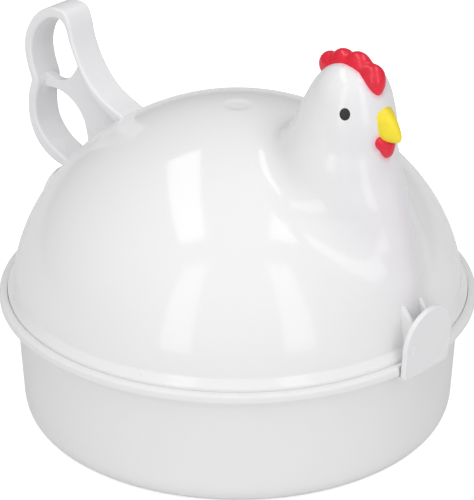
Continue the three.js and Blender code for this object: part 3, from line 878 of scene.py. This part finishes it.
class COOKER_OT_head(bpy.types.Operator):
    """Shape the hen's head, neck and breast as a thin shell that runs smoothly into the dome."""

    bl_idname = "egg_cooker.head"
    bl_label = "Hen's head"

    def execute(self, context):
        depth, voxel, shell, heart = 8, 0.75, 1.2, (40, 0, RIM_Z + 28)
        # Past share_low the skin sinks into the dome, and past share_high it ends.
        share_low, share_high, proud, sunk, lowest = 0.84, 0.98, 0.02, 0.15, RIM_Z + 6

        def seed(points):
            return np.maximum(hen_gap(points), crown_gap(points) - depth)

        bm = remeshed(radial_form(seed, heart, 6), voxel)
        rough = places(bm)
        points = settled(hen_gap, rough)
        share = head_share(points)
        lost = (np.abs(hen_gap(rough)) > 0.9) | (share > share_high) | (points[:, 2] < lowest)
        drop = np.clip((share - share_low) / (share_high - share_low), 0, 1)
        drop = drop * drop * (3 - 2 * drop)
        points += outward(hen_gap, points) * (proud - sunk * drop)[:, None]
        put(bm, points)
        gone = [vert for vert, out in zip(bm.verts, lost) if out]
        bmesh.ops.delete(bm, geom=gone, context="VERTS")
        bmesh.ops.solidify(bm, geom=bm.faces, thickness=shell)
        points = places(bm)
        normals = outward(hen_gap, points)
        normals[hen_gap(points) < -0.7] *= -1
        made = finished_piece("head_form", bm, "lid", "head_white", ["hen_head"],
                              normals=[tuple(n) for n in normals])
        near_paint = np.clip(1 - np.minimum(comb_gap(points), wattle_gap(points)) / 1.6, 0, 1)
        # Painted shade amount: the breast and face darken forward of x = 45 mm, fading out where the head
        # runs into the dome.
        painted_shade_on_breast = np.clip((points[:, 0] - 45) / 25, 0, 1) * np.clip((0.5 - head_share(points)) / 1.5, 0, 1)
        for name, values in (("overspray", near_paint ** 1.5), ("painted_shade", painted_shade_on_breast)):
            stored = made.data.attributes.new(name, "FLOAT", "POINT")
            stored.data.foreach_set("value", values.astype(np.float32))
        return {"FINISHED"}


class COOKER_OT_comb(bpy.types.Operator):
    """Shape the comb's puffy lobes and the wattle, and lacquer them red."""

    bl_idname = "egg_cooker.comb"
    bl_label = "Comb and wattle"

    def execute(self, context):
        seeds = [((x, y, RIM_Z + rise), (min(along, tall),) * 3)
                 for x, y, rise, along, _, tall, _ in COMB_LOBES]
        bm = remeshed(spheres(seeds), 0.3)
        put(bm, settled(comb_gap, places(bm), 10))
        finished_piece("comb_form", bm, "lid", "red_lacquer", ["comb"])
        seeds = [((x, y, RIM_Z + rise), (along, across, tall))
                 for x, y, rise, along, across, tall, _ in WATTLE_LOBES]
        bm = remeshed(spheres(seeds), 0.25)
        put(bm, settled(wattle_gap, places(bm), 10))
        finished_piece("wattle_form", bm, "lid", "red_lacquer", ["wattle"])
        return {"FINISHED"}


# Beak rings from the top down: height above the rim, front, half width, how square the nose is, rise
# towards the face.
BEAK_RINGS = [
    [79.0, 57.6, 3.1, 0.55, 0.0],
    [78.1, 59.8, 4.3, 0.55, 0.0],
    [75.4, 62.6, 4.3, 0.5, 0.2],
    [72.0, 64.4, 4.1, 0.5, 0.8],
    [69.8, 65.2, 3.8, 0.45, 1.6],
    [68.3, 64.4, 3.2, 0.45, 2.0],
    [67.9, 61.6, 2.6, 0.5, 1.8],
]


class COOKER_OT_beak(bpy.types.Operator):
    """Bridge the beak's rings into a rounded wedge that hooks down, and paint it yellow."""

    bl_idname = "egg_cooker.beak"
    bl_label = "Beak"

    def execute(self, context):
        bm = bmesh.new()
        rings = []
        back, nose = 54.0, 1.7
        for rise, front, half, square, lift in BEAK_RINGS:
            plan = [(back, -half), ((back + front) / 2, -half), (front - nose, -half * square), (front, 0)]
            plan += [(x, -y) for x, y in plan[2::-1]]
            slope = lift / (front - back)
            verts = [bm.verts.new((x, y, RIM_Z + rise + slope * (front - x))) for x, y in plan]
            rings.append([bm.edges.new(pair) for pair in zip(verts, verts[1:] + verts[:1])])
        for upper, lower in zip(rings, rings[1:]):
            bmesh.ops.bridge_loops(bm, edges=upper + lower)
        bmesh.ops.holes_fill(bm, edges=bm.edges, sides=0)
        bmesh.ops.recalc_face_normals(bm, faces=bm.faces)
        made = finished_piece("beak_form", bm, "lid", "yellow_lacquer", ["beak"])
        rounder = made.modifiers.new("round", "SUBSURF")
        rounder.levels = rounder.render_levels = 3
        return {"FINISHED"}


class COOKER_OT_eyes(bpy.types.Operator):
    """Lay an oval drop of black paint on each side of the head."""

    bl_idname = "egg_cooker.eyes"
    bl_label = "Eyes"

    def execute(self, context):
        place = Vector((51.4, 10.4, RIM_Z + 77.8))
        half_width, half_height, crown, sunk = 1.56, 1.86, 0.16, -0.35
        line = [(0, crown)] + [(r, crown * (1 - r ** 5)) for r in np.linspace(0.1, 1, 14)]
        line += [(0.97, sunk), (0, sunk)]
        for side, name, node in ((1, "left_eye_drop", "left_eye"), (-1, "right_eye_drop", "right_eye")):
            bm = turned(line, 64)
            flat = places(bm)
            normal = Vector((0.44, side * 0.875, 0.2)).normalized()
            across = normal.cross(Vector((0, 0, 1))).normalized()
            up = across.cross(normal)
            middle = np.array((place.x, side * place.y, place.z))
            spots = middle + np.outer(flat[:, 0] * half_width, across)
            spots = settled(hen_gap, spots + np.outer(flat[:, 1] * half_height, up))
            put(bm, spots + outward(hen_gap, spots) * (flat[:, 2] + 0.04)[:, None])
            bmesh.ops.recalc_face_normals(bm, faces=bm.faces)
            finished_piece(name, bm, "lid", "black_lacquer", [node], 50)
        return {"FINISHED"}


# Outlines of the tail handle as x and height above the rim.
HANDLE_OUTER = [
    (-40, 42), (-44.8, 47.4), (-49.5, 49.3), (-54, 51.4), (-58.7, 55), (-63.1, 60.8), (-66, 67.2),
    (-67.5, 73.2), (-69.6, 76.7), (-74.5, 77.4), (-79, 75.9), (-83, 73), (-86, 69.2), (-88.2, 64.4),
    (-88.7, 59.4), (-87.6, 53.6), (-86.1, 49.4), (-87.4, 44.8), (-88, 39), (-86.8, 32.6), (-83.5, 27.2),
    (-78, 23.4), (-71.8, 21.8), (-64, 19.5), (-52, 24),
]
HANDLE_ROOM = [
    (-46, 42.5), (-51.2, 46.6), (-56.2, 49.4), (-61, 54), (-65.1, 60.6), (-68.2, 67.2), (-69.6, 71.6),
    (-71.6, 73.6), (-76.4, 73.2), (-80.6, 70.4), (-83.9, 66), (-85.4, 60.6), (-84.7, 55), (-82.9, 50),
    (-82.9, 48), (-84.3, 42), (-83.4, 34.4), (-79, 29), (-73.6, 26.2), (-66, 24), (-54, 28),
]
HANDLE_WEB = [
    (-84.6, 50.4), (-82.6, 51.4), (-77, 50.4), (-72.4, 52.2), (-68.8, 56.6), (-66.9, 62), (-68.0, 66.6),
    (-67.2, 67.0), (-63.6, 60.0), (-58.9, 54.4), (-54, 50.6), (-48, 47.2), (-50, 30), (-62, 22),
    (-63.2, 25), (-64.2, 31), (-65, 36), (-66.6, 40.4), (-70, 44), (-75, 46.4), (-79.4, 47), (-82.4, 46.6),
    (-84.8, 47.6),
]


class COOKER_OT_handle(bpy.types.Operator):
    """Bend the tail handle's band into two finger lobes, with a thin web between them."""

    bl_idname = "egg_cooker.handle"
    bl_label = "Tail handle"

    def execute(self, context):
        width, web_width = size("handle_width"), size("handle_web")
        count, sunk = 260, 1.0
        outer = even_loop(smooth_loop(HANDLE_OUTER), count)
        inner = even_loop(smooth_loop(HANDLE_ROOM), count)
        start = min(range(count), key=lambda i: (inner[i] - outer[0]).length)
        inner = inner[start:] + inner[:start]
        bm = bmesh.new()
        loops = []
        for line in (outer, inner):
            verts = [bm.verts.new((x, -width / 2, z + RIM_Z)) for x, z in line]
            loops += [bm.edges.new(pair) for pair in zip(verts, verts[1:] + verts[:1])]
        bmesh.ops.bridge_loops(bm, edges=loops)
        pull(bm, bm.faces[:], width)
        rims = [edge for edge in bm.edges if len(edge.link_faces) == 2 and edge.calc_face_angle() > 1]
        round_off(bm, rims, 1.1, 5)
        outline = [(x, z + RIM_Z) for x, z in smooth_loop(HANDLE_WEB, 6)]
        web = slab(outline, web_width, 0.5, 3)
        bm = joined(cut(bm, dome_core(sunk)), cut(web, dome_core(sunk)))
        finished_piece("handle_band", bm, "lid", "trim_white", ["tail_handle"],
                       normals=face_weighted(bm))
        return {"FINISHED"}


class COOKER_OT_latches(bpy.types.Operator):
    """Make the two latches: a round thumb ear on a shank, its hook and its knuckle."""

    bl_idname = "egg_cooker.latches"
    bl_label = "Latches"

    def execute(self, context):
        thick, lean = size("ear_thickness"), 5
        inner, knuckle_radius = NOTCH_X + 0.5, 2
        round_radius, round_z, foot = EAR_HIGH.y, RIM_Z + 7.8, EAR_LOW.z
        half, half_knuckle = round_radius - 0.2, LUG_MIDDLE - LUG_THICKNESS / 2 - GAP
        for end, turn in (("front", 0), ("rear", 180)):
            shoulder = math.asin(half / round_radius)
            angles = np.linspace(-math.pi / 2 + shoulder, 1.5 * math.pi - shoulder, 60)
            outline = [(round_radius * math.cos(a), round_z + round_radius * math.sin(a)) for a in angles]
            outline += rounded_line([outline[-1], (-half, foot, 2.6), (half, foot, 2.6), outline[0]], 6)[1:-1]
            mark = block((-8.0, -thick / 2 - 0.3, RIM_Z + 5.2), (-6.8, 0, RIM_Z + 8.8), 0.25)
            ear = rotated(joined(slab(outline, thick, 0.6, 4), mark), 90)
            ear = rotated(shifted(ear, thick / 2, 0, 0), lean, "Y", (0, 0, RIM_Z))
            hook = block((inner - 1.3, -half + 0.5, foot + 0.1),
                         (inner + thick / 2, half - 0.5, RIM_Z - 1.9), 0.3)
            knuckle = cross_rod(knuckle_radius, half_knuckle, PIVOT_X, PIVOT_Z, 48, 0.3)
            arm = block((PIVOT_X, -half_knuckle, PIVOT_Z - 1.3),
                        (inner + thick, half_knuckle, PIVOT_Z + 1.3), 0.3)
            hinge = cut(joined(knuckle, arm), cross_rod(PIN_HOLE, 12, PIVOT_X, PIVOT_Z))
            bm = rotated(joined(shifted(ear, inner, 0, 0), hook, hinge), turn)
            finished_piece(f"{end}_latch_ear", bm, f"{end}_latch", "trim_white",
                           [f"{end}_latch"], normals=face_weighted(bm))
        return {"FINISHED"}


# ---------- studio

# Places of the panels from the middle of the rim, before the turn to the camera, and their widths and
# heights, in metres.
FRONT_PLACE, FRONT_SPAN = (0.70, -1.2, 0.86), (0.43, 1.72)
TOP_PLACE, TOP_SPAN = (0.46, 0.07, 1.2), (0.30, 1.13)
SKY_FACING = Vector((0, -0.86, 0.51))
CAMERA_SHIFT = (-0.0013, 0.0718)
FLOOR_RADIUS, FLOOR_DROP = 6, 0.0002


def panel_light(name, middle, span, tip, power):
    """A soft rectangular lamp, tipped up from looking straight down."""
    lamp = bpy.data.lights.new(name, "AREA")
    lamp.shape = "RECTANGLE"
    lamp.size, lamp.size_y = span
    lamp.energy = power
    made = bpy.data.objects.new(name, lamp)
    made.location = middle
    made.rotation_euler = (tip, 0, bpy.context.scene.cooker_studio.azimuth)
    bpy.context.scene.collection.objects.link(made)


class COOKER_OT_studio(bpy.types.Operator):
    """Set a plain pale floor, an even sky, four soft panels and the camera."""

    bl_idname = "egg_cooker.studio"
    bl_label = "Studio"

    def execute(self, context):
        scene = context.scene
        studio = scene.cooker_studio
        turn = Matrix.Rotation(studio.azimuth, 4, "Z")
        middle = Vector((0, 0, RIM_Z * MM))

        bm = bmesh.new()
        bmesh.ops.create_circle(bm, cap_ends=True, segments=96, radius=FLOOR_RADIUS)
        shifted(bm, 0, 0, -FLOOR_DROP)
        mesh = bpy.data.meshes.new("studio_floor")
        bm.to_mesh(mesh)
        bm.free()
        material, tree, shader = finish_nodes("studio_paper")
        where = tree.nodes.new("ShaderNodeTexCoord").outputs["Object"]
        fibre = pattern(tree, where, "ShaderNodeTexNoise", Scale=9.0, Detail=3.0)["Fac"]
        tone = mix_colours(tree, fibre, (0.93, 0.93, 0.93), (0.91, 0.91, 0.91))
        seen = tree.nodes.new("ShaderNodeLightPath").outputs["Is Camera Ray"]
        tree.links.new(mix_colours(tree, seen, (0.84, 0.84, 0.84), tone), shader.inputs["Base Color"])
        shader.inputs["Roughness"].default_value = 0.9
        shader.inputs["Specular IOR Level"].default_value = 0.0
        shader.inputs["Emission Color"].default_value = (1, 1, 1, 1)
        tree.links.new(spread(tree, seen, 0.0, 0.60), shader.inputs["Emission Strength"])
        mesh.materials.append(material)
        floor = bpy.data.objects.new("studio_floor", mesh)
        scene.collection.objects.link(floor)

        world = bpy.data.worlds.new("studio_sky")
        world.use_nodes = True
        tree = world.node_tree
        background = tree.nodes["Background"]
        facing = add_node(tree, "ShaderNodeVectorMath", operation="DOT_PRODUCT")
        tree.links.new(tree.nodes.new("ShaderNodeTexCoord").outputs["Generated"], facing.inputs[0])
        facing.inputs[1].default_value = turn @ SKY_FACING
        glow = spread(tree, facing.outputs["Value"], studio.sky_back, studio.sky_front, -0.2, 1.0)
        tree.links.new(glow, background.inputs["Strength"])
        background.inputs["Color"].default_value = (1, 1, 1, 1)
        scene.world = world

        for side in (-1, 1):
            front = middle + turn @ Vector((side * FRONT_PLACE[0], *FRONT_PLACE[1:]))
            panel_light("front_panel", front, FRONT_SPAN, math.pi / 2, studio.front_power)
            above = middle + turn @ Vector((side * TOP_PLACE[0], *TOP_PLACE[1:]))
            panel_light("top_panel", above, TOP_SPAN, 0, studio.top_power)

        camera = bpy.data.cameras.new("studio_camera")
        camera.sensor_width = 36
        camera.lens = studio.lens
        camera.shift_x, camera.shift_y = CAMERA_SHIFT
        camera.clip_end = 50
        holder = bpy.data.objects.new("studio_camera", camera)
        level = studio.distance * math.cos(studio.elevation)
        rise = studio.distance * math.sin(studio.elevation)
        holder.location = middle + turn @ Vector((0, -level, 0)) + Vector((0, 0, rise))
        holder.rotation_euler = (math.pi / 2 - studio.elevation, 0, studio.azimuth)
        scene.collection.objects.link(holder)
        scene.camera = holder
        scene.view_settings.view_transform = "Standard"
        return {"FINISHED"}


# ---------- panel and registration

PIECES = (COOKER_OT_base, COOKER_OT_tray, COOKER_OT_dome, COOKER_OT_lining, COOKER_OT_head, COOKER_OT_comb,
          COOKER_OT_beak, COOKER_OT_eyes, COOKER_OT_handle, COOKER_OT_latches, COOKER_OT_studio)


class COOKER_PT_panel(bpy.types.Panel):
    """The cooker's pieces, each with its button."""

    bl_idname = "COOKER_PT_panel"
    bl_label = "Egg Cooker"
    bl_space_type = "VIEW_3D"
    bl_region_type = "UI"
    bl_category = "Egg Cooker"

    def draw(self, context):
        for piece in PIECES:
            self.layout.operator(piece.bl_idname)
        for group in (context.scene.cooker_sizes, context.scene.cooker_finishes, context.scene.cooker_studio):
            box = self.layout.box()
            for name in group.__annotations__:
                box.prop(group, name)


GROUPS = {"cooker_sizes": CookerSizes, "cooker_finishes": CookerFinishes, "cooker_studio": StudioSettings}


def register():
    for kind in (*GROUPS.values(), *PIECES, COOKER_PT_panel):
        bpy.utils.register_class(kind)
    for name, group in GROUPS.items():
        setattr(bpy.types.Scene, name, PointerProperty(type=group))


def unregister():
    for name in GROUPS:
        delattr(bpy.types.Scene, name)
    for kind in reversed((*GROUPS.values(), *PIECES, COOKER_PT_panel)):
        bpy.utils.unregister_class(kind)


def main():
    register()
    for piece in PIECES:
        group, name = piece.bl_idname.split(".")
        getattr(getattr(bpy.ops, group), name)()


if __name__ == "__main__":
    main()
